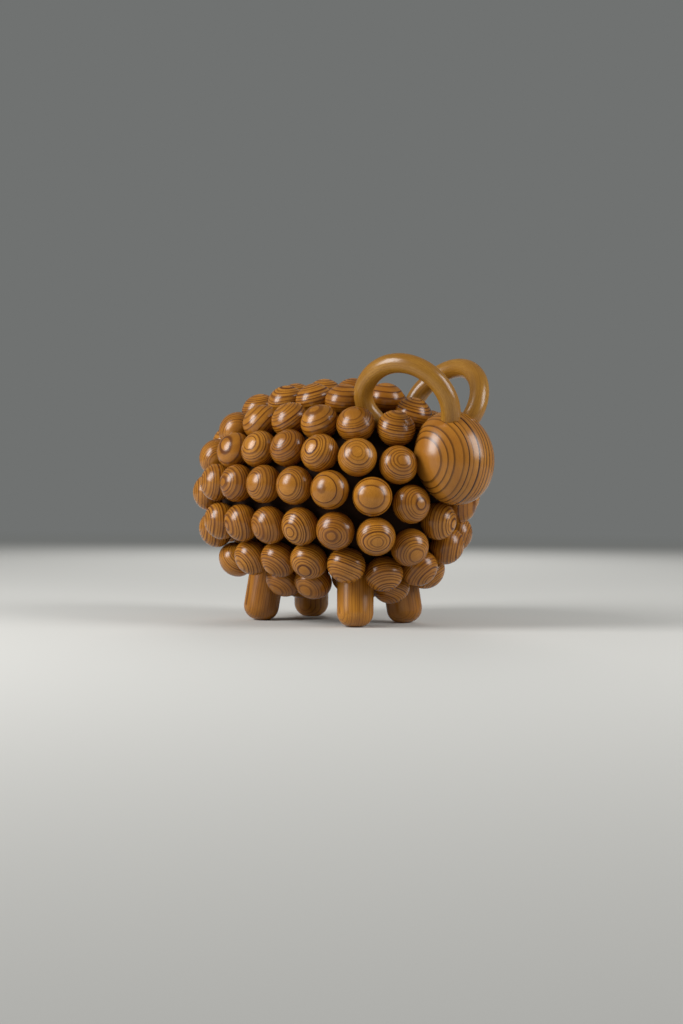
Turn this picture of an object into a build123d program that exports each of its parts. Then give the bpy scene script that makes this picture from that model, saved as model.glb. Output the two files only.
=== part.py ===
from build123d import *
from math import cos, pi, radians, sin, sqrt, tan
import os

# A wooden ram: a turned core body, covered with turned knobs, on four pegs,
# with an egg shaped head on a neck dowel and two horns of bent round rod.
# The head looks along +X, the ram's left is +Y, and the feet stand at z = 0.

# Fits and cuts
glue_line = 0.05
hole_clearance = 0.1
scoop_clearance = 0.3
rod_chamfer_share = 0.04

# The round of knob centres, a full oval turned about the X axis
oval_length = 246.0
oval_diameter = 185.0
oval_roundness_share = 2.6
oval_x = -18.5
oval_height = 119.0

# The knobs
knob_diameter = 34.6
dome_height = 15.2
knob_side_radius = 13.5
knob_base_diameter = 15.0
knob_base_depth = 14.0
knob_tenon_diameter = 8.0
knob_tenon_length = 10.0
spot_face_depth = 1.0
spot_face_margin = 2.0
belly_knob_rise = 8.5

# The legs, measured at the middle of each foot, their tops above the belly knobs' centres
leg_diameter = 33.0
foot_fillet = 13.2
front_foot_x = 56.9
rear_foot_x = 60.7
foot_y = 37.2
leg_top_rise = 26.0
leg_tenon_diameter = 18.0
leg_tenon_length = 16.0
side_splay_angle = 7.0
length_splay_angle = 6.0

# The head, an egg with its long axis down and forward, its centre past the
# oval's end and above the oval's axis
head_length = 84.6
head_width = 71.0
head_side_radius = 48.9
head_reach = 15.0
head_rise = 33.5
head_tilt_angle = 74.0
head_flat_depth = 27.0
neck_diameter = 22.0
neck_angle = 25.0
neck_in_head = 14.0
neck_in_core = 22.0

# The horns, each one rod bent in a plane that leans outward, its root ahead of
# the head's centre, beside it and above it
horn_diameter = 17.4
horn_root_reach = 4.2
horn_root_y = 12.8
horn_root_rise = 30.1
horn_tenon_length = 8.0
horn_tail_length = 14.0
horn_lean_angle = 26.4
horn_toe_angle = 8.5
horn_rise_angle = 57.7
horn_bend_radii = (37.0, 43.0, 48.0, 26.0)
horn_bend_angles = (50.0, 88.0, 36.0, 72.0)

# Where the knobs stand: shares of half the oval's length, from the middle
# toward the head, and turns in degrees from the top down the ram's sides
spine_shares = (0.75, 0.49, 0.175, -0.11, -0.40, -0.805, -0.975)
chest_shares = (0.99, 0.815)
rump_shares = (-0.885,)
belly_shares = (0.55, 0.265, -0.34, -0.625)
row_shares = (
    (0.31, 0.025, -0.26, -0.605, -0.885),
    (0.80, 0.575, 0.295, 0.0, -0.295, -0.60),
    (0.905, 0.69, 0.415, 0.125, -0.16, -0.445, -0.79),
    (0.965, 0.81, 0.54, 0.25, -0.04, -0.325, -0.60, -0.88, -0.99),
    (0.90, 0.79, 0.55, 0.275, -0.015, -0.30, -0.575, -0.795),
    (0.69, 0.52, 0.24, -0.045, -0.33, -0.70, -0.96),
    (0.115, -0.17),
)
row_angles = (
    (21.5, 21.5, 21.5, 17.0, 32.0),
    (29.0, 41.5, 45.0, 43.5, 44.0, 43.5),
    (59.5, 64.5, 65.5, 63.5, 64.0, 63.5, 60.5),
    (102.0, 91.0, 87.0, 85.0, 84.5, 84.0, 83.0, 89.5, 80.0),
    (149.5, 122.0, 112.0, 108.0, 107.5, 107.0, 108.0, 120.5),
    (156.0, 137.0, 130.5, 130.0, 130.5, 146.0, 144.0),
    (150.0, 149.5),
)

half_length = oval_length / 2
oval_radius = oval_diameter / 2
core_depth = knob_base_depth - spot_face_depth
oval_center = Vector(oval_x, 0, oval_height)
head_center = oval_center + Vector(half_length + head_reach, 0, head_rise)
belly_knob_height = oval_height - oval_radius + belly_knob_rise
leg_top_height = belly_knob_height + leg_top_rise


# One point of the oval's outline, |share|^n + (radius / oval_radius)^n = 1,
# with the outward normal as its parts along the axis and away from it.
def outline(share):
    power = oval_roundness_share
    radius = oval_radius * (1 - abs(share) ** power) ** (1 / power)
    along = abs(share) ** (power - 1) / half_length
    away = (radius / oval_radius) ** (power - 1) / oval_radius
    size = sqrt(along**2 + away**2)
    along = along if share > 0 else -along
    return share * half_length, radius, along / size, away / size


# Where the side arc of a rounded end meets its crown arc: the side arc starts
# upright at the half width, and the crown arc ends level at the height.
def arc_joint(half_width, height, side_radius):
    inset = half_width - side_radius
    crown_radius = (inset**2 + height**2 - side_radius**2) / (2 * (height - side_radius))
    drop = crown_radius - height
    stretch = crown_radius / (crown_radius - side_radius)
    return inset * stretch, drop * stretch - drop


# The plane of one knob's widest circle, facing away from the core.
def knob_plane(share, angle):
    reach, radius, along, away = outline(share)
    side = -sin(radians(angle))
    up = cos(radians(angle))
    return Plane(
        origin=oval_center + Vector(reach, radius * side, radius * up),
        x_dir=(0, up, -side),
        z_dir=(along, away * side, away * up),
    )


def belly_plane(share):
    center = Vector(oval_x + share * half_length, 0, belly_knob_height)
    return Plane(origin=center, x_dir=(0, 1, 0), z_dir=(0, 0, -1))


# The plane across the foot of one leg, facing up the leg.
def leg_plane(lengthwise, side):
    foot_x = front_foot_x if lengthwise > 0 else -rear_foot_x
    lean_x = -lengthwise * tan(radians(length_splay_angle))
    lean_y = -side * tan(radians(side_splay_angle))
    return Plane(
        origin=(oval_x + foot_x, side * foot_y, 0),
        x_dir=(1, 0, -lean_x),
        z_dir=(lean_x, lean_y, 1),
    )


def leg_body_length(plane):
    return leg_top_height / plane.z_dir.Z


os.makedirs("parts", exist_ok=True)

row_planes = [
    [knob_plane(share, angle) for share, angle in zip(shares, angles)]
    for shares, angles in zip(row_shares, row_angles)
]
spine_planes = [knob_plane(share, 0) for share in spine_shares]
chest_planes = [knob_plane(share, 180) for share in chest_shares]
rump_planes = [knob_plane(share, 180) for share in rump_shares]
belly_planes = [belly_plane(share) for share in belly_shares]
leg_planes = {
    "leg_front_right": leg_plane(1, -1),
    "leg_front_left": leg_plane(1, 1),
    "leg_rear_right": leg_plane(-1, -1),
    "leg_rear_left": leg_plane(-1, 1),
}

# One knob, with its dome up, its widest circle at height zero and its tenon
# below the flat base that stands in a spot face of the core.
knob_seat_depth = knob_base_depth - glue_line
knob_joint = arc_joint(knob_diameter / 2, dome_height, knob_side_radius)
with BuildPart() as knob:
    with BuildSketch(Plane.XZ):
        with BuildLine():
            shoulder = TangentArc((knob_diameter / 2, 0), knob_joint, tangent=(0, 1))
            crown = TangentArc(shoulder @ 1, (0, dome_height), tangent=shoulder % 1)
            under = TangentArc(
                (knob_diameter / 2, 0), (knob_base_diameter / 2, -knob_seat_depth), tangent=(0, -1)
            )
            Polyline(
                under @ 1,
                (knob_tenon_diameter / 2, -knob_seat_depth),
                (knob_tenon_diameter / 2, -knob_seat_depth - knob_tenon_length),
                (0, -knob_seat_depth - knob_tenon_length),
                crown @ 1,
            )
        make_face()
    revolve(axis=Axis.Z)

# The room that one knob takes in the core: spot face and dowel hole.
knob_room_radius = knob_base_diameter / 2 + spot_face_margin
knob_hole_radius = knob_tenon_diameter / 2 + hole_clearance
knob_hole_depth = knob_base_depth + knob_tenon_length + scoop_clearance
with BuildPart() as knob_room:
    with BuildSketch(Plane.XY.offset(-knob_base_depth)):
        Circle(knob_room_radius)
    extrude(amount=knob_base_depth)
    with BuildSketch(Plane.XY.offset(-knob_hole_depth)):
        Circle(knob_hole_radius)
    extrude(amount=knob_hole_depth)

with BuildPart() as knob_rooms:
    for planes in row_planes:
        with Locations(*planes):
            add(knob_room.part)
    mirror(about=Plane.XZ)
    with Locations(*spine_planes, *chest_planes, *rump_planes, *belly_planes):
        add(knob_room.part)

# The neck dowel, from inside the head's flat to inside the core.
neck_dir = Vector(-cos(radians(neck_angle)), 0, -sin(radians(neck_angle)))
flat_center = head_center + neck_dir * head_flat_depth
neck_start = Plane(origin=flat_center - neck_dir * neck_in_head, x_dir=(0, 1, 0), z_dir=neck_dir)
neck_length = neck_in_head + neck_in_core
with BuildPart() as neck:
    with BuildSketch(neck_start):
        Circle(neck_diameter / 2)
    extrude(amount=neck_length)
    chamfer(neck.edges().filter_by(GeomType.CIRCLE), length=neck_diameter * rod_chamfer_share)
neck.part.label = "neck_dowel"
export_step(neck.part, "parts/neck_dowel.step")

neck_room_start = neck_start.offset(-glue_line)
with BuildPart() as neck_room:
    with BuildSketch(neck_room_start):
        Circle(neck_diameter / 2 + hole_clearance)
    extrude(amount=neck_length + 2 * glue_line)

# The plane in which the right horn is bent, from its root in the head.
lean = radians(horn_lean_angle)
toe = radians(horn_toe_angle)
horn_plane = Plane(
    origin=head_center + Vector(horn_root_reach, -horn_root_y, horn_root_rise),
    x_dir=(cos(toe), sin(toe) * cos(lean), sin(toe) * sin(lean)),
    z_dir=(sin(toe), -cos(toe) * cos(lean), -cos(toe) * sin(lean)),
)
rise = radians(horn_rise_angle)
rise_dir = Vector(cos(rise), sin(rise))


# The horn's path: a tenon in the head, four bends and a straight tail in the
# core, made longer at both ends by the given length.
def horn_path(longer):
    with BuildLine() as path:
        bend = Line(rise_dir * -(horn_tenon_length + longer), (0, 0))
        for bend_radius, bend_angle in zip(horn_bend_radii, horn_bend_angles):
            bend = JernArc(bend @ 1, bend % 1, bend_radius, bend_angle)
        Line(bend @ 1, (bend @ 1) + (bend % 1) * (horn_tail_length + longer))
    return path.line.moved(horn_plane.location)


horn_line = horn_path(0)
with BuildPart() as horn_right:
    with BuildSketch(Plane(origin=horn_line @ 0, z_dir=horn_line % 0)):
        Circle(horn_diameter / 2)
    sweep(path=horn_line)
    horn_ends = horn_right.faces().filter_by(GeomType.PLANE)
    chamfer(horn_ends.edges(), length=horn_diameter * rod_chamfer_share)
horn_right.part.label = "horn_right"
export_step(horn_right.part, "parts/horn_right.step")

with BuildPart() as horn_left:
    add(mirror(horn_right.part, about=Plane.XZ))
horn_left.part.label = "horn_left"
export_step(horn_left.part, "parts/horn_left.step")

# The room that both horns take in the head and in the core.
horn_room_line = horn_path(glue_line)
with BuildPart() as horn_room:
    with BuildSketch(Plane(origin=horn_room_line @ 0, z_dir=horn_room_line % 0)):
        Circle(horn_diameter / 2 + hole_clearance)
    sweep(path=horn_room_line)
    mirror(about=Plane.XZ)

# The head, turned about its long axis, with a flat toward the body, the neck
# socket and the two horn sockets.
tilt = radians(head_tilt_angle)
head_dir = Vector(cos(tilt), 0, -sin(tilt))
head_plane = Plane(origin=head_center, x_dir=(0, 1, 0), z_dir=head_dir.cross(Vector(0, 1, 0)))
head_joint = arc_joint(head_width / 2, head_length / 2, head_side_radius)
with BuildPart() as head:
    with BuildSketch(head_plane):
        with BuildLine():
            cheek = TangentArc((head_width / 2, 0), head_joint, tangent=(0, 1))
            TangentArc(cheek @ 1, (0, head_length / 2), tangent=cheek % 1)
            mirror(about=Plane.XZ)
            Line((0, head_length / 2), (0, -head_length / 2))
        make_face()
    revolve(axis=Axis(head_center, head_dir))
    split(bisect_by=Plane(origin=flat_center, z_dir=neck_dir), keep=Keep.BOTTOM)
    add(neck_room.part, mode=Mode.SUBTRACT)
    add(horn_room.part, mode=Mode.SUBTRACT)
head.part.label = "head"
export_step(head.part, "parts/head.step")

# The four legs: one peg each, round at the foot and cut level at the ground,
# its top seated in the core and drawn down to a tenon.
for name, plane in leg_planes.items():
    body_length = leg_body_length(plane)
    with BuildPart() as leg:
        with BuildSketch(plane):
            Circle(leg_diameter / 2)
        extrude(amount=body_length)
        foot_edge = leg.edges().sort_by(Axis((0, 0, 0), plane.z_dir))[0]
        fillet(foot_edge, radius=foot_fillet)
        with BuildSketch(plane.offset(body_length)):
            Circle(leg_tenon_diameter / 2)
        extrude(amount=leg_tenon_length)
        split(bisect_by=Plane.XY, keep=Keep.TOP)
    leg.part.label = name
    export_step(leg.part, f"parts/{name}.step")

# The room that the four legs take in the core, and in the knobs beside them.
with BuildPart() as leg_room:
    for plane in leg_planes.values():
        with BuildSketch(plane):
            Circle(leg_diameter / 2 + hole_clearance)
        extrude(amount=leg_body_length(plane) + glue_line)
        with BuildSketch(plane):
            Circle(leg_tenon_diameter / 2 + hole_clearance)
        extrude(amount=leg_body_length(plane) + leg_tenon_length + scoop_clearance)

with BuildPart() as leg_scoop:
    for plane in leg_planes.values():
        with BuildSketch(plane):
            Circle(leg_diameter / 2 + scoop_clearance)
        extrude(amount=leg_body_length(plane) + scoop_clearance)

# The knobs: the middle groups, then the rows of both sides. A knob that a leg
# or a horn comes up against gives way to it.
middle_groups = {
    "knobs_spine": spine_planes,
    "knobs_chest": chest_planes,
    "knobs_rump": rump_planes,
    "knobs_belly": belly_planes,
}
for name, planes in middle_groups.items():
    with BuildPart() as group:
        with Locations(*planes):
            add(knob.part)
        add([leg_scoop.part, horn_right.part, horn_left.part], mode=Mode.SUBTRACT)
    group.part.label = name
    export_step(group.part, f"parts/{name}.step")

for number, planes in enumerate(row_planes, 1):
    with BuildPart() as row_right:
        with Locations(*planes):
            add(knob.part)
        add([leg_scoop.part, horn_right.part, horn_left.part], mode=Mode.SUBTRACT)
    row_right.part.label = f"knobs_row_{number}_right"
    export_step(row_right.part, f"parts/knobs_row_{number}_right.step")

    with BuildPart() as row_left:
        add(mirror(row_right.part, about=Plane.XZ))
    row_left.part.label = f"knobs_row_{number}_left"
    export_step(row_left.part, f"parts/knobs_row_{number}_left.step")

# The core: the oval set in by the depth of the knobs, turned about the X
# axis, cut level underneath, and drilled for everything that stands in it.
core_flat_height = belly_knob_height + core_depth
skin_points = []
skin_steps = 12
for step in range(skin_steps + 1):
    turn = pi * step / skin_steps
    share = abs(cos(turn)) ** (2 / oval_roundness_share)
    share = share if turn < pi / 2 else -share
    reach, radius, along, away = outline(share)
    skin_points.append((reach - core_depth * along, radius - core_depth * away))
core_plane = Plane(origin=oval_center, x_dir=(1, 0, 0), z_dir=(0, -1, 0))
with BuildPart() as core:
    with BuildSketch(core_plane):
        with BuildLine():
            skin = Spline(*skin_points, tangents=((0, 1), (0, -1)))
            Line(skin @ 1, skin @ 0)
        make_face()
    revolve(axis=Axis(oval_center, (1, 0, 0)))
    split(bisect_by=Plane.XY.offset(core_flat_height), keep=Keep.TOP)
    add([knob_rooms.part, leg_room.part, neck_room.part, horn_room.part], mode=Mode.SUBTRACT)
core.part.label = "body_core"
export_step(core.part, "parts/body_core.step")
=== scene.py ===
import math

import bpy
import numpy as np
from mathutils import Matrix, Vector


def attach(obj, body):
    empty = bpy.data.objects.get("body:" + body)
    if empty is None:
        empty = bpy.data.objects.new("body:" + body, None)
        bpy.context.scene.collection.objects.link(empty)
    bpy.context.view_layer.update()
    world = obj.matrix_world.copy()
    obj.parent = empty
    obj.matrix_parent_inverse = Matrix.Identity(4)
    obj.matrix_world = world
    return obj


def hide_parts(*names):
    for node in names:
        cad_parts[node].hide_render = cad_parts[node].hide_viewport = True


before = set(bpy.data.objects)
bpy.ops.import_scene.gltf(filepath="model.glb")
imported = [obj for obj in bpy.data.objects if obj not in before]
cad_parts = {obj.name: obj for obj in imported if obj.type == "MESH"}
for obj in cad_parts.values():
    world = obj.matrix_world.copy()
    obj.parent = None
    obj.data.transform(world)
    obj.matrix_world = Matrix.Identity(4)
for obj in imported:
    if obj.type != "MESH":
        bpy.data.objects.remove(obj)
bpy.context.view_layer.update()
print("frame loaded, nodes:", len(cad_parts))

mm = 0.001


def linear(hexText):
    # sRGB hex text to a linear RGBA colour
    channels = np.array([int(hexText[i:i + 2], 16) for i in (1, 3, 5)]) / 255
    toe = channels / 12.92
    curve = ((channels + 0.055) / 1.055) ** 2.4
    return (*np.where(channels <= 0.04045, toe, curve).tolist(), 1.0)


def addNode(tree, kind, settings=None, inputs=None):
    # one shader node: settings are its own values, inputs are numbers, colours or sockets
    node = tree.nodes.new(kind)
    for key, value in (settings or {}).items():
        setattr(node, key, value)
    for key, value in (inputs or {}).items():
        if isinstance(value, bpy.types.NodeSocket):
            tree.links.new(value, node.inputs[key])
        else:
            node.inputs[key].default_value = value
    return node


def shellMesh(name, shells, fields):
    # shells: (pieces, rows, columns, 3) in mm. Columns run round, and the first and
    # last row of each piece are its poles, each one point.
    pieces, rows, columns = shells.shape[:3]
    keep = np.ones((pieces, rows, columns), bool)
    keep[:, 0, 1:] = False
    keep[:, -1, 1:] = False
    index = np.cumsum(keep).reshape(keep.shape) - 1
    index[:, 0, :] = index[:, 0, :1]
    index[:, -1, :] = index[:, -1, :1]
    after = np.roll(index, -1, axis=2)
    quads = np.stack([index[:, :-1], after[:, :-1], after[:, 1:], index[:, 1:]], axis=-1)
    belt = quads[:, 1:-1].reshape(-1, 4)
    firstFan = quads[:, 0][..., [0, 2, 3]].reshape(-1, 3)
    lastFan = quads[:, -1][..., [0, 1, 2]].reshape(-1, 3)
    mesh = bpy.data.meshes.new(name)
    mesh.from_pydata(
        (shells[keep] * mm).tolist(), [], belt.tolist() + firstFan.tolist() + lastFan.tolist()
    )
    mesh.polygons.foreach_set("use_smooth", np.ones(len(mesh.polygons), bool))
    for key, values in fields.items():
        values = np.broadcast_to(values, (*keep.shape, values.shape[-1]))[keep]
        kind = "FLOAT_VECTOR" if values.shape[-1] == 3 else "FLOAT"
        part = "vector" if kind == "FLOAT_VECTOR" else "value"
        layer = mesh.attributes.new(key, kind, "POINT")
        layer.data.foreach_set(part, values.astype(np.float32).ravel())
    mesh.update()
    piece = bpy.data.objects.new(name, mesh)
    bpy.context.scene.collection.objects.link(piece)
    return piece


def fitPiece(piece, material, slotName, *nodes):
    # gives a piece its finish and its body, and hides the CAD nodes that it stands for
    piece.data.materials.append(material)
    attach(piece, "root")
    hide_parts(*nodes)


def unit(vector):
    return vector / np.linalg.norm(vector, axis=-1, keepdims=True)


def across(axis, toward):
    # the part of toward that is square to axis, as a unit vector
    return unit(toward - (toward * axis).sum(-1, keepdims=True) * axis)


def treePlace(points, middle, pith, toSurface, pithDepth, stemBend):
    # A point's place in the tree, in mm: first along the pith, then the two ways across it.
    # The pith runs along its direction at pithDepth below the middle of the piece, and
    # toSurface points from the pith through that middle. A stem that bends away from the
    # surface by along^2 * stemBend / 2 draws the rings out lengthwise.
    side = np.cross(pith, toSurface)
    local = points - middle
    along = (local * pith).sum(-1)
    acrossSide = (local * side).sum(-1)
    acrossUp = (local * toSurface).sum(-1) + pithDepth + along ** 2 * stemBend / 2
    return np.stack([along, acrossSide, acrossUp], axis=-1)


# the wood finishes

grain = {
    "strayScale": (0.04, 0.09, 0.09), "strayDetail": 5.0, "strayGain": 4.0,
    "swing": 0.2, "swingRate": 1.9,  # how far and how often years grow wide and narrow
    "eyeRate": 0.2, "eyeMost": 0.3,  # years per mm inside the first ring, and at most
    "lineStart": 1.4, "lineFull": 0.65,  # before the year's end, in lengths of its dark part
    "lineEnd": 0.955, "lineShare": 0.76,
    "toneStart": 0.15, "toneFull": 0.97, "toneShare": 0.24,  # slow darkening before the line
    "strengthLeast": 0.55, "strengthSpread": 0.6,
    "fullForce": 0.9, "faintShare": 0.35,
    "patchScale": (0.03, 0.08, 0.08), "patchGain": 1.6, "patchShift": -0.6,
    "pieceWarmth": 0.55, "streakGain": 2.4, "streakShift": -1.0, "fibreBump": 0.35,
}


knobWood = {
    "earlywood": "#B87B26",  # honey between the rings
    "warmPatch": "#865010",
    "latewood": "#5A2E06",  # the thin dark line that ends each year
    "lateLeast": 0.18, "lateMost": 0.42,  # the dark part of a year in weak and strong rings
    "widestLate": 2.6,  # mm of ring pitch over which the dark line grows no wider
    "wobble": 0.26,  # mm that a ring strays from a true circle
    "fibreLength": 5.0, "fibreWidth": 0.45,  # mm, coarser than real fibres so that they show
    "fibreShare": 0.85,
    "roughness": 0.26, "ior": 1.48,  # satin varnish
    "relief": 0.02,  # mm that the dark lines stand proud
    # more years near the bull's eye, the depth in mm they fade over, and the widest ring
    # pitch that they are added to
    "crowding": (1.6, 2.6, 3.4),
}
headWood = dict(
    knobWood, wobble=0.16, widestLate=9.0, lateLeast=0.26, lateMost=0.26,
    earlywood="#B0772A", warmPatch="#945A18", latewood="#3C1C04",
    crowding=(1.2, 14.0, 9.0),
)
legWood = dict(
    knobWood, wobble=0.5, lateLeast=0.22, lateMost=0.22, fibreLength=24.0,
    crowding=(0.0, 1.0, 0.0),
)
caneWood = dict(
    knobWood, earlywood="#B08030", warmPatch="#85581B", latewood="#5E3D14",
    wobble=0.3, fibreLength=2.6, fibreWidth=0.6, fibreShare=0.9, crowding=(0.0, 1.0, 0.0),
)


def varnishedWood(name, look):
    # Softwood turned and sanded, then varnished: pale earlywood darkens slowly to a hard
    # dark latewood line, and drops back to pale at once, seen through a satin film.
    material = bpy.data.materials.new(name)
    material.use_nodes = True
    tree = material.node_tree
    tree.nodes.clear()
    output = addNode(tree, "ShaderNodeOutputMaterial")

    place = addNode(tree, "ShaderNodeAttribute", {"attribute_name": "treePlace"}).outputs["Vector"]
    lot = addNode(tree, "ShaderNodeAttribute", {"attribute_name": "woodLot"}).outputs["Vector"]
    lotParts = addNode(tree, "ShaderNodeSeparateXYZ", inputs={0: lot})
    pitch, ringRadius, force = (lotParts.outputs[i] for i in range(3))
    eyeYear = addNode(tree, "ShaderNodeAttribute", {"attribute_name": "eyeYear"}).outputs["Fac"]

    def maths(operation, first, second=0.0, third=0.0, clamp=False):
        settings = {"operation": operation, "use_clamp": clamp}
        inputs = {0: first, 1: second, 2: third}
        return addNode(tree, "ShaderNodeMath", settings, inputs).outputs[0]

    def blend(share, first, second):
        return addNode(
            tree, "ShaderNodeMix", {"data_type": "RGBA"}, {"Factor": share, 6: first, 7: second}
        ).outputs[2]

    def noise(scale, detail=2.0):
        moved = addNode(
            tree, "ShaderNodeVectorMath", {"operation": "MULTIPLY"}, {0: place, 1: scale}
        )
        return addNode(
            tree, "ShaderNodeTexNoise", {"noise_dimensions": "4D"},
            {"Vector": moved.outputs[0], "W": eyeYear, "Scale": 1.0, "Detail": detail},
        ).outputs[0]

    def chance(value):
        speck = addNode(tree, "ShaderNodeTexWhiteNoise", {"noise_dimensions": "1D"}, {"W": value})
        return speck.outputs["Value"]

    def rise(value, low, high, first, last):
        return addNode(
            tree, "ShaderNodeMapRange", {"interpolation_type": "SMOOTHSTEP"},
            {"Value": value, 1: low, 2: high, 3: first, 4: last},
        ).outputs[0]

    # Years are counted outward from the pith, some wide and some narrow. The eye year ends at
    # the ring radius, and the pale wood of the next year lies beyond it, in the bull's eye.
    flat = addNode(
        tree, "ShaderNodeVectorMath", {"operation": "MULTIPLY"}, {0: place, 1: (0, 1, 1)}
    )
    length = addNode(tree, "ShaderNodeVectorMath", {"operation": "LENGTH"}, {0: flat.outputs[0]})
    stray = maths("SUBTRACT", noise(grain["strayScale"], grain["strayDetail"]), 0.5)
    reach = look["wobble"] * grain["strayGain"]
    radius = maths("MULTIPLY_ADD", stray, reach, length.outputs["Value"])
    below = maths("SUBTRACT", ringRadius, radius)
    depth = maths("MAXIMUM", below, 0.0)
    inside = maths("MULTIPLY", maths("MINIMUM", below, 0.0), -grain["eyeRate"])
    inside = maths("MINIMUM", inside, grain["eyeMost"])
    extra, fadeDepth, widest = look["crowding"]
    crowd = maths("EXPONENT", maths("MULTIPLY", depth, -1 / fadeDepth))
    crowd = maths("MULTIPLY_ADD", crowd, -1.0, 1.0)
    crowd = maths("MULTIPLY", crowd, maths("MULTIPLY", maths("LESS_THAN", pitch, widest), extra))
    years = maths("SUBTRACT", eyeYear, maths("ADD", maths("DIVIDE", depth, pitch), crowd))
    years = maths("ADD", years, inside)
    swing = maths("SINE", maths("MULTIPLY", years, grain["swingRate"]))
    still = maths("SINE", maths("MULTIPLY", eyeYear, grain["swingRate"]))
    years = maths("MULTIPLY_ADD", maths("SUBTRACT", swing, still), grain["swing"], years)
    strength = chance(maths("FLOOR", years))
    strength = maths("MULTIPLY_ADD", strength, grain["strengthSpread"], grain["strengthLeast"])

    # a year darkens slowly, then fast in its dark line, and drops back to pale at its end
    within = maths("FRACT", years)
    late = maths("MULTIPLY_ADD", force, look["lateMost"] - look["lateLeast"], look["lateLeast"])
    wide = maths("MINIMUM", maths("DIVIDE", look["widestLate"], pitch), 1.0)
    late = maths("MULTIPLY", late, wide)
    start = maths("MULTIPLY_ADD", late, -grain["lineStart"], 1.0)
    full = maths("MULTIPLY_ADD", late, -grain["lineFull"], 1.0)
    drop = rise(within, grain["lineEnd"], 1.0, 1.0, 0.0)
    tone = rise(within, grain["toneStart"], grain["toneFull"], 0.0, grain["toneShare"])
    line = maths("MULTIPLY", rise(within, start, full, 0.0, grain["lineShare"]), drop)
    line = maths("MULTIPLY_ADD", tone, drop, line)
    shown = rise(force, 0.0, grain["fullForce"], grain["faintShare"], 1.0)
    ring = maths("MULTIPLY", maths("MULTIPLY", line, strength), shown, clamp=True)

    # each piece has its own warmth, patches of warmer wood pass slowly, and fibres run
    # along the pith
    fibre = noise((1 / look["fibreLength"], 1 / look["fibreWidth"], 1 / look["fibreWidth"]))
    patch = noise(grain["patchScale"])
    patch = maths("MULTIPLY_ADD", patch, grain["patchGain"], grain["patchShift"])
    patch = maths("MULTIPLY_ADD", chance(eyeYear), grain["pieceWarmth"], patch, clamp=True)
    colour = blend(patch, linear(look["earlywood"]), linear(look["warmPatch"]))
    streak = maths("MULTIPLY_ADD", fibre, grain["streakGain"], grain["streakShift"], clamp=True)
    streak = maths("MULTIPLY", streak, look["fibreShare"])
    colour = blend(streak, colour, linear(look["warmPatch"]))
    shade = blend(ring, colour, linear(look["latewood"]))

    height = maths("MULTIPLY_ADD", fibre, grain["fibreBump"], ring)
    bump = addNode(
        tree, "ShaderNodeBump",
        inputs={"Height": height, "Distance": look["relief"] * mm, "Strength": 1.0},
    ).outputs[0]
    finish = addNode(
        tree, "ShaderNodeBsdfPrincipled",
        inputs={
            "Base Color": shade, "Normal": bump,
            "Roughness": look["roughness"], "IOR": look["ior"],
        },
    )
    tree.links.new(finish.outputs[0], output.inputs["Surface"])
    return material


# Knobs and head show rings round a bull's eye, a leg shows its rings as long lines, and the
# cane of the horns has flecks and hardly any rings.
varnishedPineKnob = varnishedWood("varnishedPineKnob", knobWood)
varnishedPineHead = varnishedWood("varnishedPineHead", headWood)
varnishedPineLeg = varnishedWood("varnishedPineLeg", legWood)
bentCane = varnishedWood("bentCane", caneWood)


# near-black tones of the core, painted in for the shade deep in the gaps between the knobs
paintedShadeCoreWood = {
    "dark": "#170B03", "pale": "#2C1706",
    "grainScale": (30, 500, 500), "detail": 3.0,  # per metre: long fibres 2 mm wide
    "roughness": 0.9, "ior": 1.3,
}


def paintedShadePine():
    # the core under the knobs: raw turned pine, dull, its colour painted near black as the shade
    # deep in the gaps between the knobs
    material = bpy.data.materials.new("paintedShadePineCore")
    material.use_nodes = True
    tree = material.node_tree
    finish = tree.nodes["Principled BSDF"]
    coords = addNode(tree, "ShaderNodeTexCoord").outputs["Object"]
    stretched = addNode(
        tree, "ShaderNodeMapping", inputs={"Vector": coords, "Scale": paintedShadeCoreWood["grainScale"]}
    )
    fibre = addNode(
        tree, "ShaderNodeTexNoise",
        inputs={"Vector": stretched.outputs[0], "Scale": 1.0, "Detail": paintedShadeCoreWood["detail"]},
    ).outputs[0]
    colour = addNode(
        tree, "ShaderNodeMix", {"data_type": "RGBA"},
        {"Factor": fibre, 6: linear(paintedShadeCoreWood["dark"]), 7: linear(paintedShadeCoreWood["pale"])},
    ).outputs[2]
    tree.links.new(colour, finish.inputs["Base Color"])
    finish.inputs["Roughness"].default_value = paintedShadeCoreWood["roughness"]
    finish.inputs["IOR"].default_value = paintedShadeCoreWood["ior"]
    return material


paintedShadePineCore = paintedShadePine()
print("wood finishes made")

cameraForm = {
    "place": (1097.1, -1305.8, 133.3), "yaw": 40.3, "pitch": -1.04, "roll": 0.47,
    "lens": 64.72, "film": 36.0,
}

# the coat of knobs

ovalForm = {
    "halfLength": 123.0, "radius": 92.5, "roundness": 2.6,
    "middle": (-18.5, 0.0, 119.0), "bellyHeight": 35.0,
}
knobForm = {
    "radius": 17.3, "domeHeight": 15.2, "sideRadius": 13.5,
    "baseRadius": 7.5, "baseDepth": 13.95, "columns": 56,
    "underRows": 9, "sideRows": 9, "crownRows": 10,
    "eyeBlend": 0.06,  # share of the radius over which a bull's eye is read off the surface
    "darkEyeShare": 0.1,  # a first ring smaller than this makes a dark bull's eye
}
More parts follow.
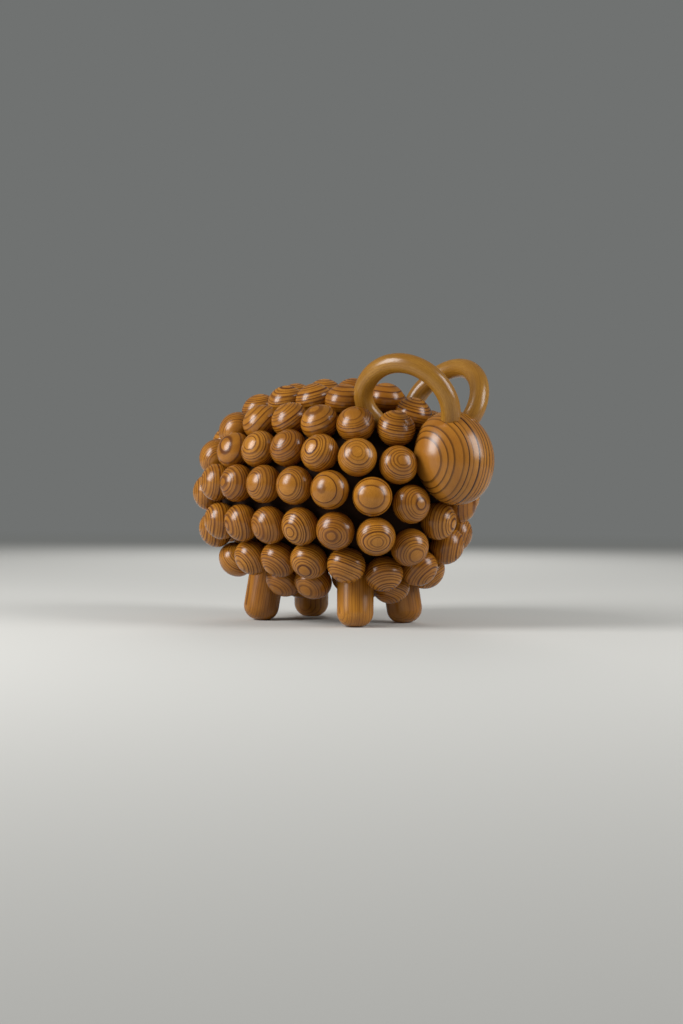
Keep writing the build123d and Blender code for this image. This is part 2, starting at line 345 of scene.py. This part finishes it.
# The looks of knobs that aren't in ringLooks are drawn between these limits: the lean of the
# rings from the knob's axis in degrees, and the pith's depth and the stem's bend per mm.
knobChance = {
    "seed": 12, "seam": (0.0, 0.31, 0.95), "seamJitter": 0.02,
    "lean": (0, 40), "pitch": (1.9, 3.0), "firstShare": (0.18, 0.40), "force": (0.65, 1.0),
    "pithDepth": (25, 80), "stemBend": (0.0, 0.012), "eyeYear": (12, 90),
}
middleKnobs = {
    "knobs_spine": ((0.75, 0.49, 0.175, -0.11, -0.40, -0.805, -0.975), 0),
    "knobs_chest": ((0.99, 0.815), 180),
    "knobs_rump": ((-0.885,), 180),
}
bellyShares = (0.55, 0.265, -0.34, -0.625)
rowShares = (
    (0.31, 0.025, -0.26, -0.605, -0.885),
    (0.80, 0.575, 0.295, 0.0, -0.295, -0.60),
    (0.905, 0.69, 0.415, 0.125, -0.16, -0.445, -0.79),
    (0.965, 0.81, 0.54, 0.25, -0.04, -0.325, -0.60, -0.88, -0.99),
    (0.90, 0.79, 0.55, 0.275, -0.015, -0.30, -0.575, -0.795),
    (0.69, 0.52, 0.24, -0.045, -0.33, -0.70, -0.96),
    (0.115, -0.17),
)
rowAngles = (
    (21.5, 21.5, 21.5, 17.0, 32.0),
    (29.0, 41.5, 45.0, 43.5, 44.0, 43.5),
    (59.5, 64.5, 65.5, 63.5, 64.0, 63.5, 60.5),
    (102.0, 91.0, 87.0, 85.0, 84.5, 84.0, 83.0, 89.5, 80.0),
    (149.5, 122.0, 112.0, 108.0, 107.5, 107.0, 108.0, 120.5),
    (156.0, 137.0, 130.5, 130.0, 130.5, 146.0, 144.0),
    (150.0, 149.5),
)


# Where each knob's bull's eye lies, seen from the ram's front right: shares of its radius
# to the right and up, then the ring pitch and the first ring's share of the radius, then
# how strongly the rings show.
ringLooks = {
    "knobs_spine": {
        1: (0.15, 0.83, 2.9, 0.22, 1.0), 2: (0.0, 0.93, 4.6, 0.45, 1.0),
        3: (0.05, 0.96, 3.2, 0.3, 1.0), 4: (-0.05, 0.95, 3.0, 0.3, 1.0),
        5: (-0.1, 0.95, 2.8, 0.3, 1.0), 6: (-0.2, 0.9, 2.6, 0.3, 0.9),
    },
    "knobs_chest": {
        1: (0.78, -0.15, 2.5, 0.16, 0.8), 2: (0.57, -0.57, 2.4, 0.25, 0.9),
    },
    "knobs_row_1_right": {
        1: (0.1, 0.92, 3.6, 0.35, 0.9), 2: (-0.25, 0.9, 2.9, 0.2, 1.0),
        3: (0.05, 0.86, 2.6, 0.25, 1.0), 4: (-0.1, 0.95, 2.4, 0.3, 0.9),
        5: (-0.3, 0.85, 2.6, 0.3, 0.9),
    },
    "knobs_row_2_right": {
        1: (0.1, 0.86, 2.2, 0.18, 1.0), 2: (-0.21, 0.57, 2.2, 0.42, 0.7),
        3: (-0.31, 0.68, 3.6, 0.2, 0.8), 4: (-0.5, 0.72, 2.9, 0.25, 1.0),
        5: (-0.6, 0.72, 4.2, 0.45, 0.9), 6: (0.1, -0.3, 2.8, 0.6, 0.9),
    },
    "knobs_row_3_right": {
        1: (0.2, 0.25, 2.2, 0.26, 0.85), 2: (-0.05, 0.31, 1.9, 0.26, 0.55),
        3: (-0.47, 0.36, 2.2, 0.32, 0.8), 4: (-0.47, 0.47, 2.2, 0.35, 0.7),
        5: (-0.52, 0.36, 2.5, 0.36, 0.95), 6: (-0.47, 0.36, 3.8, 0.3, 0.9),
        7: (0.31, -0.31, 2.6, 0.5, 0.7),
    },
    "knobs_row_4_right": {
        1: (0.47, 0.0, 2.1, 0.23, 0.7), 2: (-0.05, 0.0, 5.0, 0.56, 1.0),
        3: (-0.42, 0.05, 5.5, 0.03, 0.8), 4: (-0.42, 0.05, 2.5, 0.5, 1.0),
        5: (-0.62, 0.1, 2.6, 0.42, 0.8), 6: (-0.73, 0.05, 2.5, 0.18, 1.0),
        7: (-0.84, 0.05, 2.6, 0.2, 1.0), 8: (-0.95, 0.0, 3.2, 0.3, 0.9),
        9: (-0.9, 0.1, 2.6, 0.3, 0.9),
    },
    "knobs_row_5_right": {
        1: (0.36, -0.42, 2.1, 0.32, 0.85), 2: (0.05, -0.31, 1.6, 0.24, 1.0),
        3: (-0.2, -0.26, 1.9, 0.18, 0.75), 4: (-0.52, -0.31, 2.1, 0.17, 0.9),
        5: (-0.78, -0.2, 2.5, 0.28, 1.0), 6: (-0.78, -0.15, 2.4, 0.16, 1.0),
        7: (-0.88, -0.05, 2.6, 0.22, 1.0), 8: (-0.9, 0.2, 2.6, 0.3, 0.9),
    },
    "knobs_row_6_right": {
        1: (0.2, -0.83, 2.1, 0.22, 1.0), 2: (-0.26, -0.78, 2.3, 0.2, 1.0),
        3: (-0.26, -0.52, 2.0, 0.3, 0.85), 4: (-0.52, -0.62, 2.2, 0.27, 1.0),
        5: (-0.62, -0.47, 2.1, 0.24, 0.95), 6: (0.4, 0.5, 2.2, 0.5, 0.7),
    },
    "knobs_row_7_right": {
        1: (-0.4, -0.5, 2.4, 0.3, 0.7), 2: (-0.47, -0.57, 2.6, 0.35, 0.65),
    },
    "knobs_row_3_left": {
        1: (0.9, 0.1, 2.6, 0.3, 0.9),
    },
    "knobs_row_4_left": {
        1: (0.95, 0.0, 3.8, 0.3, 0.95),
    },
    "knobs_row_5_left": {
        1: (0.88, -0.15, 2.6, 0.25, 0.95), 2: (0.9, -0.3, 2.4, 0.3, 0.9),
    },
}


def knobSeats(shares, angles, side=-1):
    # The round of knob centres is a full oval, |share|^n + (r / radius)^n = 1, turned about X.
    # Each knob stands on it along the oval's outward normal.
    shares = np.array(shares, float)
    turn = np.radians(np.broadcast_to(np.array(angles, float), shares.shape))
    power = ovalForm["roundness"]
    radius = ovalForm["radius"] * (1 - abs(shares) ** power) ** (1 / power)
    slopeAlong = np.sign(shares) * abs(shares) ** (power - 1) / ovalForm["halfLength"]
    slopeAway = (radius / ovalForm["radius"]) ** (power - 1) / ovalForm["radius"]
    away = np.stack([0 * turn, side * np.sin(turn), np.cos(turn)], axis=-1)
    along = np.array([1.0, 0.0, 0.0])
    centers = np.array(ovalForm["middle"]) + away * radius[:, None]
    centers = centers + along * (shares * ovalForm["halfLength"])[:, None]
    axes = unit(along * slopeAlong[:, None] + away * slopeAway[:, None])
    return centers, axes


def bellySeats(shares):
    centers = np.array([
        (ovalForm["middle"][0] + share * ovalForm["halfLength"], 0.0, ovalForm["bellyHeight"])
        for share in shares
    ])
    return centers, np.tile((0.0, 0.0, -1.0), (len(shares), 1))


def knobProfile():
    # Half outline from the base to the tip as radius, height and the normal's angle: a flat
    # base, an arc swelling to the widest circle, a side arc and a flatter crown arc, tangent
    # where they meet.
    form = knobForm
    side, tall = form["sideRadius"], form["domeHeight"]
    inset = form["radius"] - side
    crown = (inset ** 2 + tall ** 2 - side ** 2) / (2 * (tall - side))
    meet = math.atan2(crown - tall, inset)
    reach, depth = form["radius"] - form["baseRadius"], form["baseDepth"]
    under = (reach ** 2 + depth ** 2) / (2 * reach)
    start = -math.asin(depth / under)
    a = np.linspace(start, 0, form["underRows"], endpoint=False)
    b = np.linspace(0, meet, form["sideRows"], endpoint=False)
    c = np.linspace(meet, math.pi / 2, form["crownRows"])
    radii = np.concatenate([
        [0.0], form["radius"] - under + under * np.cos(a),
        inset + side * np.cos(b), crown * np.cos(c),
    ])
    heights = np.concatenate([
        [-depth], under * np.sin(a), side * np.sin(b), crown * np.sin(c) - crown + tall,
    ])
    radii[-1] = 0.0
    return radii, heights, np.concatenate([[-math.pi / 2], a, b, c])


def knobGroup(name, seats, draw):
    # One piece holds all knobs of a group, each turned about its own axis. The year rings lie
    # nearly square to the axis, so they show as a bull's eye near the tip.
    centers, axes = seats
    count = len(centers)
    radii, heights, angles = knobProfile()
    size = knobForm["radius"]
    turn = np.linspace(0, 2 * math.pi, knobForm["columns"], endpoint=False)
    seam = np.tile(knobChance["seam"], (count, 1))
    first = across(axes, seam + draw.normal(0, knobChance["seamJitter"], (count, 3)))
    second = np.cross(axes, first)
    outward = np.cos(turn)[:, None] * first[:, None, :] + np.sin(turn)[:, None] * second[:, None, :]
    shells = (
        centers[:, None, None, :]
        + radii[None, :, None, None] * outward[:, None]
        + heights[None, :, None, None] * axes[:, None, None, :]
    )
    normals = (
        np.cos(angles)[None, :, None, None] * outward[:, None]
        + np.sin(angles)[None, :, None, None] * axes[:, None, None, :]
    )
    # Looks drawn by chance, then those of the knobs that are known. A bull's eye lies where
    # the surface is square to the way up from the pith, so that way is the normal there.
    lean = np.radians(draw.uniform(*knobChance["lean"], count))[:, None]
    leanTurn = draw.uniform(0, 2 * math.pi, count)[:, None]
    leaning = np.cos(leanTurn) * first + np.sin(leanTurn) * second
    toSurface = unit(np.cos(lean) * axes + np.sin(lean) * leaning)
    pitch = draw.uniform(*knobChance["pitch"], count)
    firstShare = draw.uniform(*knobChance["firstShare"], count)
    force = draw.uniform(*knobChance["force"], count)
    yaw = math.radians(cameraForm["yaw"])
    rightward = np.array([math.cos(yaw), math.sin(yaw), 0.0])
    toward = np.array([math.sin(yaw), -math.cos(yaw), 0.0])
    for number, (right, up, *known) in ringLooks.get(name, {}).items():
        knob = number - 1
        offset = (shells[knob] - centers[knob]) / size
        facing = (normals[knob] @ toward).clip(0) * radii[:, None]
        miss = (offset @ rightward - right) ** 2 + (offset[..., 2] - up) ** 2
        weight = facing * np.exp(-miss / knobForm["eyeBlend"] ** 2)
        toSurface[knob] = unit((weight[..., None] * normals[knob]).sum(axis=(0, 1)))
        pitch[knob], firstShare[knob], force[knob] = known
    pithTurn = draw.uniform(0, math.pi, count)[:, None]
    pith = across(toSurface, np.cos(pithTurn) * first + np.sin(pithTurn) * second)
    depth = draw.uniform(*knobChance["pithDepth"], count)
    bend = draw.uniform(*knobChance["stemBend"], count)
    place = treePlace(
        shells, centers[:, None, None], pith[:, None, None], toSurface[:, None, None],
        depth[:, None, None], bend[:, None, None],
    )
    # The bull's eye is the point furthest from the pith. The first ring's distance from the
    # pith is the mean where the surface lies the ring's share of the radius away from it.
    distance = np.linalg.norm(place[..., 1:], axis=-1)
    furthest = distance.reshape(count, -1).argmax(axis=1)
    eyeSpot = place.reshape(count, -1, 3)[np.arange(count), furthest]
    gap = place - eyeSpot[:, None, None]
    spread = np.hypot(gap[..., 0], gap[..., 1]) / size - firstShare[:, None, None]
    upward = (normals * toSurface[:, None, None]).sum(-1).clip(0) * radii[:, None]
    weight = upward * np.exp(-((spread / knobForm["eyeBlend"]) ** 2))
    ringRadius = (weight * distance).sum(axis=(1, 2)) / weight.sum(axis=(1, 2))
    darkEye = firstShare < knobForm["darkEyeShare"]
    ringRadius = ringRadius + np.where(darkEye, 2 * knobWood["wobble"], 0.0)
    eyeYear = draw.integers(*knobChance["eyeYear"], count).astype(float)
    lots = np.stack([pitch, ringRadius, force], axis=-1)
    fields = {
        "treePlace": place, "woodLot": lots[:, None, None],
        "eyeYear": eyeYear[:, None, None, None],
    }
    piece = shellMesh(name + "_coat", shells, fields)
    fitPiece(piece, varnishedPineKnob, "knob_wood", name)


def buildKnobs():
    draw = np.random.default_rng(knobChance["seed"])
    for node, (shares, angle) in middleKnobs.items():
        knobGroup(node, knobSeats(shares, angle), draw)
    knobGroup("knobs_belly", bellySeats(bellyShares), draw)
    for number, (shares, angles) in enumerate(zip(rowShares, rowAngles), 1):
        knobGroup(f"knobs_row_{number}_right", knobSeats(shares, angles, -1), draw)
        knobGroup(f"knobs_row_{number}_left", knobSeats(shares, angles, 1), draw)


buildKnobs()
print("knobs made")

# the head, one egg with a flat toward the body

headForm = {
    "center": (119.5, 0.0, 152.5), "width": 71.0, "length": 84.6, "sideRadius": 48.9,
    "tilt": 74.0, "flatDepth": 27.0, "flatAngle": 25.0, "rows": 64, "columns": 96,
    "pithDepth": 58.0, "stemBend": 0.0015, "ringPitch": 4.6, "firstRing": 3.4, "eyeYear": 24.0,
    "eyeDirection": (-0.3, -1.0, 0.0),
}


def buildHead():
    # An egg of two side arcs and two end arcs about its long axis, with every point beyond
    # the flat pushed back onto the flat's plane.
    form = headForm
    half, tall, side = form["width"] / 2, form["length"] / 2, form["sideRadius"]
    inset = half - side
    crown = (inset ** 2 + tall ** 2 - side ** 2) / (2 * (tall - side))
    meet = math.atan2(tall - crown, -inset)
    quarter = form["rows"] // 2
    b = np.linspace(0, meet, quarter // 2, endpoint=False)
    c = np.linspace(meet, math.pi / 2, quarter - quarter // 2 + 1)
    radii = np.concatenate([inset + side * np.cos(b), crown * np.cos(c)])
    heights = np.concatenate([side * np.sin(b), crown * np.sin(c) + tall - crown])
    radii[-1] = 0.0
    radii = np.concatenate([radii[:0:-1], radii])
    heights = np.concatenate([-heights[:0:-1], heights])
    tilt, slope = math.radians(form["tilt"]), math.radians(form["flatAngle"])
    longAxis = np.array([math.cos(tilt), 0, -math.sin(tilt)])
    sideways = np.array([0.0, 1.0, 0.0])
    forward = np.cross(sideways, longAxis)
    turn = np.linspace(0, 2 * math.pi, form["columns"], endpoint=False)
    outward = np.cos(turn)[:, None] * forward + np.sin(turn)[:, None] * sideways
    center = np.array(form["center"])
    shell = center + radii[:, None, None] * outward + heights[:, None, None] * longAxis
    flatNormal = np.array([-math.cos(slope), 0, -math.sin(slope)])
    beyond = ((shell - center) * flatNormal).sum(-1) - form["flatDepth"]
    shell = shell - beyond.clip(0)[..., None] * flatNormal
    shell = shell[None]
    toSurface = across(longAxis, np.array(form["eyeDirection"]))
    place = treePlace(shell, center, longAxis, toSurface, form["pithDepth"], form["stemBend"])
    lot = np.array([form["ringPitch"], form["pithDepth"] + half - form["firstRing"], 1.0])
    fields = {"treePlace": place, "woodLot": lot, "eyeYear": np.array([form["eyeYear"]])}
    piece = shellMesh("headEgg", shell, fields)
    fitPiece(piece, varnishedPineHead, "head_wood", "head")


buildHead()
print("head made")

# the horns, one bent rod each

hornForm = {
    "radius": 8.7, "root": (123.7, -12.8, 182.6), "lean": 26.4, "toe": 8.5, "rise": 57.7,
    "tenon": 8.0, "tail": 14.0,
    "bendRadii": (37.0, 43.0, 48.0, 26.0), "bendAngles": (50.0, 88.0, 36.0, 72.0),
    "step": 1.6, "columns": 56,
    "pithSide": 17.0, "pithUp": 9.0,  # mm from the pith to the rod's middle line
    "ringPitch": 1.5, "ringRadius": 60.0, "force": 0.12,
}


def hornPath():
    # The rod's middle line: heading and place are summed along the path, whose bend is
    # 1 / radius on each arc and zero on the straight tenon and tail.
    form = hornForm
    arcs = [r * math.radians(a) for r, a in zip(form["bendRadii"], form["bendAngles"])]
    lengths = [form["tenon"], *arcs, form["tail"]]
    bends = [0.0] + [1 / r for r in form["bendRadii"]] + [0.0]
    marks = np.concatenate([[0.0], np.cumsum(lengths)])
    stations = np.linspace(0, marks[-1], int(marks[-1] / form["step"]))
    heading = math.radians(form["rise"]) + sum(
        bend * (stations - start).clip(0, end - start)
        for bend, start, end in zip(bends, marks, marks[1:])
    )
    step = np.diff(stations)[:, None]
    middle = (heading[1:] + heading[:-1]) / 2
    travel = np.cumsum(np.stack([np.cos(middle), np.sin(middle)], -1) * step, axis=0)
    flat = np.concatenate([[[0.0, 0.0]], travel])
    rise = math.radians(form["rise"])
    flat = flat - form["tenon"] * np.array([math.cos(rise), math.sin(rise)])
    lean, toe = math.radians(form["lean"]), math.radians(form["toe"])
    leaning = np.array([0.0, math.cos(lean), math.sin(lean)])
    alongX = np.array([math.cos(toe), 0.0, 0.0]) + math.sin(toe) * leaning
    normal = np.array([math.sin(toe), 0.0, 0.0]) - math.cos(toe) * leaning
    upward = np.cross(normal, alongX)
    line = np.array(form["root"]) + flat[:, :1] * alongX + flat[:, 1:] * upward
    inward = -np.sin(heading)[:, None] * alongX + np.cos(heading)[:, None] * upward
    return stations, line, inward, normal


def buildHorn(name, side, seed, node):
    # A round section carried along the path, with both ends drawn in to a point. The left
    # horn is the right one mirrored, with its columns turned round to face outward.
    form = hornForm
    stations, line, inward, normal = hornPath()
    turn = np.linspace(0, 2 * math.pi, form["columns"], endpoint=False)
    stations = np.concatenate([stations[:1], stations, stations[-1:]])
    line = np.concatenate([line[:1], line, line[-1:]])
    inward = np.concatenate([inward[:1], inward, inward[-1:]])
    radii = np.full(len(stations), form["radius"])
    radii[[0, -1]] = 0.0
    section = np.cos(turn)[None, :, None] * inward[:, None] + np.sin(turn)[None, :, None] * normal
    shell = line[:, None] + radii[:, None, None] * section
    sectionX = radii[:, None] * np.cos(turn)
    sectionY = radii[:, None] * np.sin(turn)
    along = np.broadcast_to(stations[:, None], sectionX.shape)
    place = [along, sectionX + form["pithSide"], sectionY + form["pithUp"]]
    place = np.stack(place, axis=-1)[None]
    if side > 0:
        shell = shell * np.array([1.0, -1.0, 1.0])
        shell = shell[:, ::-1]
        place = place[:, :, ::-1]
    lot = np.array([form["ringPitch"], form["ringRadius"], form["force"]])
    fields = {"treePlace": place, "woodLot": lot, "eyeYear": np.array([seed])}
    piece = shellMesh(name, shell[None], fields)
    fitPiece(piece, bentCane, "horn_wood", node)


buildHorn("hornRodRight", -1, 3.1, "horn_right")
buildHorn("hornRodLeft", 1, 8.4, "horn_left")
print("horns made")

# the legs, four splayed pegs

legForm = {
    "radius": 16.5, "footFillet": 13.2, "topHeight": 61.0,
    "sideSplay": 7.0, "lengthSplay": 6.0, "frontX": 38.4, "rearX": -79.2, "footY": 37.2,
    "filletRows": 14, "bodyRows": 12, "columns": 72,
    "pithOffset": 34.0, "pithTurnShare": 0.35, "ringPitch": 2.3, "force": 0.45,
}


def buildLeg(node, lengthwise, side, seed):
    # A peg about its leaning axis: a flat end, a quarter round and a straight side, with
    # every point below the ground lifted onto it.
    form = legForm
    footX = form["frontX"] if lengthwise > 0 else form["rearX"]
    foot = np.array([footX, side * form["footY"], 0.0])
    axis = unit(np.array([
        -lengthwise * math.tan(math.radians(form["lengthSplay"])),
        -side * math.tan(math.radians(form["sideSplay"])),
        1.0,
    ]))
    bend = np.linspace(0, math.pi / 2, form["filletRows"])
    flat = form["radius"] - form["footFillet"]
    length = form["topHeight"] / axis[2]
    straight = np.linspace(form["footFillet"], length, form["bodyRows"])[1:]
    radii = np.concatenate([
        [0.0], flat + form["footFillet"] * np.sin(bend),
        np.full(len(straight), form["radius"]), [0.0],
    ])
    heights = np.concatenate([
        [0.0], form["footFillet"] * (1 - np.cos(bend)), straight, [length],
    ])
    first = across(axis, np.array([1.0, 0.0, 0.0]))
    second = np.cross(axis, first)
    turn = np.linspace(0, 2 * math.pi, form["columns"], endpoint=False)
    outward = np.cos(turn)[:, None] * first + np.sin(turn)[:, None] * second
    shell = foot + radii[:, None, None] * outward + heights[:, None, None] * axis
    shell[..., 2] = shell[..., 2].clip(0)
    shell = shell[None]
    toSurface = unit(form["pithTurnShare"] * first - side * second)
    place = treePlace(shell, foot, axis, toSurface, form["pithOffset"], 0.0)
    ringRadius = form["pithOffset"] + 2 * form["radius"]
    lot = np.array([form["ringPitch"], ringRadius, form["force"]])
    fields = {"treePlace": place, "woodLot": lot, "eyeYear": np.array([seed])}
    piece = shellMesh(node + "Peg", shell, fields)
    fitPiece(piece, varnishedPineLeg, "leg_wood", node)


buildLeg("leg_front_right", 1, -1, 2.2)
buildLeg("leg_front_left", 1, 1, 5.7)
buildLeg("leg_rear_right", -1, -1, 9.1)
buildLeg("leg_rear_left", -1, 1, 4.4)
print("legs made")

# the core and the neck dowel keep their CAD shape, and take the near-black finish that paints the
# shade in the gaps
for node in ("body_core", "neck_dowel"):
    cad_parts[node].data.materials.clear()
    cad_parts[node].data.materials.append(paintedShadePineCore)

# floor, lights and camera

studio = {
    "floorColour": "#CAC9C5", "floorReach": 30.0, "backColour": "#707271",
    "fadeStart": 1.2, "fadeEnd": 3.0,  # metres from the ram
    "keyPlace": (-0.60, -1.28, 0.86), "keySize": (0.7, 1.05), "keyPower": 27.5,
    "sidePlace": (1.34, 0.47, 0.84), "sideSize": (0.7, 1.05), "sidePower": 17.0,
    "backPlace": (-0.95, 1.15, 1.0), "backSize": (0.7, 1.05), "backPower": 9.0,
    "aim": (0.0, 0.0, 0.12),
}


def buildStudio():
    reach = studio["floorReach"]
    mesh = bpy.data.meshes.new("paleFloor")
    corners = [(-reach, -reach, 0), (reach, -reach, 0), (reach, reach, 0), (-reach, reach, 0)]
    mesh.from_pydata(corners, [], [(0, 1, 2, 3)])
    floor = bpy.data.objects.new("paleFloor", mesh)
    bpy.context.scene.collection.objects.link(floor)
    # matte paint near the ram, which fades into the plain backdrop further away
    paint = bpy.data.materials.new("matteFloorPaint")
    paint.use_nodes = True
    tree = paint.node_tree
    tree.nodes.clear()
    output = addNode(tree, "ShaderNodeOutputMaterial")
    matte = addNode(tree, "ShaderNodeBsdfDiffuse", inputs={"Color": linear(studio["floorColour"])})
    plain = addNode(
        tree, "ShaderNodeEmission",
        inputs={"Color": linear(studio["backColour"]), "Strength": 1.0},
    )
    place = addNode(tree, "ShaderNodeTexCoord").outputs["Object"]
    away = addNode(tree, "ShaderNodeVectorMath", {"operation": "LENGTH"}, {0: place})
    fade = addNode(
        tree, "ShaderNodeMapRange", {"interpolation_type": "SMOOTHSTEP"},
        {
            "Value": away.outputs["Value"],
            1: studio["fadeStart"], 2: studio["fadeEnd"], 3: 0.0, 4: 1.0,
        },
    ).outputs[0]
    rays = addNode(tree, "ShaderNodeLightPath").outputs
    seen = rays["Is Camera Ray"]
    for kind in ("Is Glossy Ray", "Is Transmission Ray"):
        either = addNode(tree, "ShaderNodeMath", {"operation": "MAXIMUM"}, {0: seen, 1: rays[kind]})
        seen = either.outputs[0]
    share = addNode(tree, "ShaderNodeMath", {"operation": "MULTIPLY"}, {0: fade, 1: seen})
    joined = addNode(
        tree, "ShaderNodeMixShader",
        inputs={0: share.outputs[0], 1: matte.outputs[0], 2: plain.outputs[0]},
    )
    tree.links.new(joined.outputs[0], output.inputs["Surface"])
    mesh.materials.append(paint)

    world = bpy.data.worlds.new("studioWorld")
    bpy.context.scene.world = world
    world.use_nodes = True
    tree = world.node_tree
    tree.nodes.clear()
    output = addNode(tree, "ShaderNodeOutputWorld")
    sky = addNode(
        tree, "ShaderNodeBackground",
        inputs={"Color": linear(studio["backColour"]), "Strength": 1.0},
    )
    tree.links.new(sky.outputs[0], output.inputs["Surface"])

    for name in ("key", "side", "back"):
        lamp = bpy.data.lights.new(name + "Softbox", "AREA")
        lamp.shape = "RECTANGLE"
        lamp.size, lamp.size_y = studio[name + "Size"]
        lamp.energy = studio[name + "Power"]
        box = bpy.data.objects.new(name + "Softbox", lamp)
        box.location = studio[name + "Place"]
        box.visible_glossy = name != "back"  # the back light only softens the shade
        aim = Vector(studio["aim"]) - Vector(studio[name + "Place"])
        box.rotation_euler = aim.to_track_quat("-Z", "Y").to_euler()
        bpy.context.scene.collection.objects.link(box)


def buildCamera():
    camera = bpy.data.cameras.new("photoCamera")
    camera.lens = cameraForm["lens"]
    camera.sensor_width = cameraForm["film"]
    camera.sensor_fit = "AUTO"
    camera.clip_end = 100
    eye = bpy.data.objects.new("photoCamera", camera)
    turn = (
        Matrix.Rotation(math.radians(cameraForm["yaw"]), 4, "Z")
        @ Matrix.Rotation(math.radians(90 + cameraForm["pitch"]), 4, "X")
        @ Matrix.Rotation(math.radians(cameraForm["roll"]), 4, "Z")
    )
    eye.matrix_world = Matrix.Translation(Vector(cameraForm["place"]) * mm) @ turn
    bpy.context.scene.collection.objects.link(eye)
    bpy.context.scene.camera = eye


buildStudio()
buildCamera()
bpy.context.scene.view_settings.view_transform = "Standard"
print("studio made")
